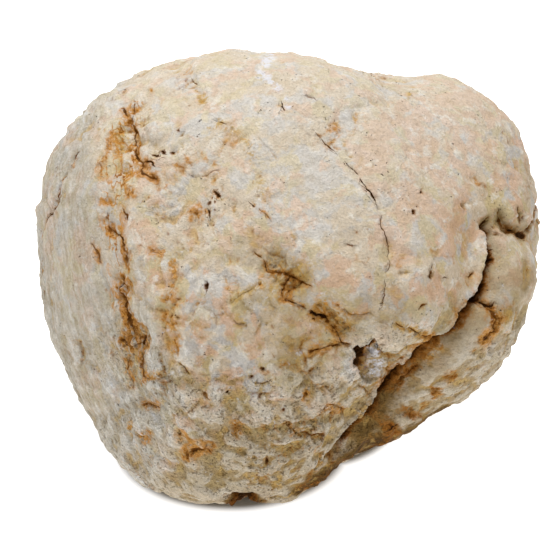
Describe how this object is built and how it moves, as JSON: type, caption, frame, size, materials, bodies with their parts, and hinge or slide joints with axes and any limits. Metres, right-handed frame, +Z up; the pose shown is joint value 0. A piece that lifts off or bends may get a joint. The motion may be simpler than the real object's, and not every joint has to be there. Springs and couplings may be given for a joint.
{
  "type": "calcite geode",
  "caption": "Whole, unopened calcite geode: a rounded, blocky, cream-coloured stone with a long undercut ledge, a cleft end and rust-stained seams, resting on a small flat spot.",
  "frame": {"origin": "on the flat spot that the stone rests on, under the middle of the stone", "axes": "+X along the stone's longest extent, towards the end with the cleft; +Z up, away from the resting spot; the broad face with the ledge and the cavity looks towards -Y and upwards"},
  "size_m": [0.0902, 0.0778, 0.0786],
  "materials": {
    "calcite_rind": "matte"
  },
  "bodies": {
    "root": {"geode_stone": "calcite_rind"}
  },
  "joints": []
}
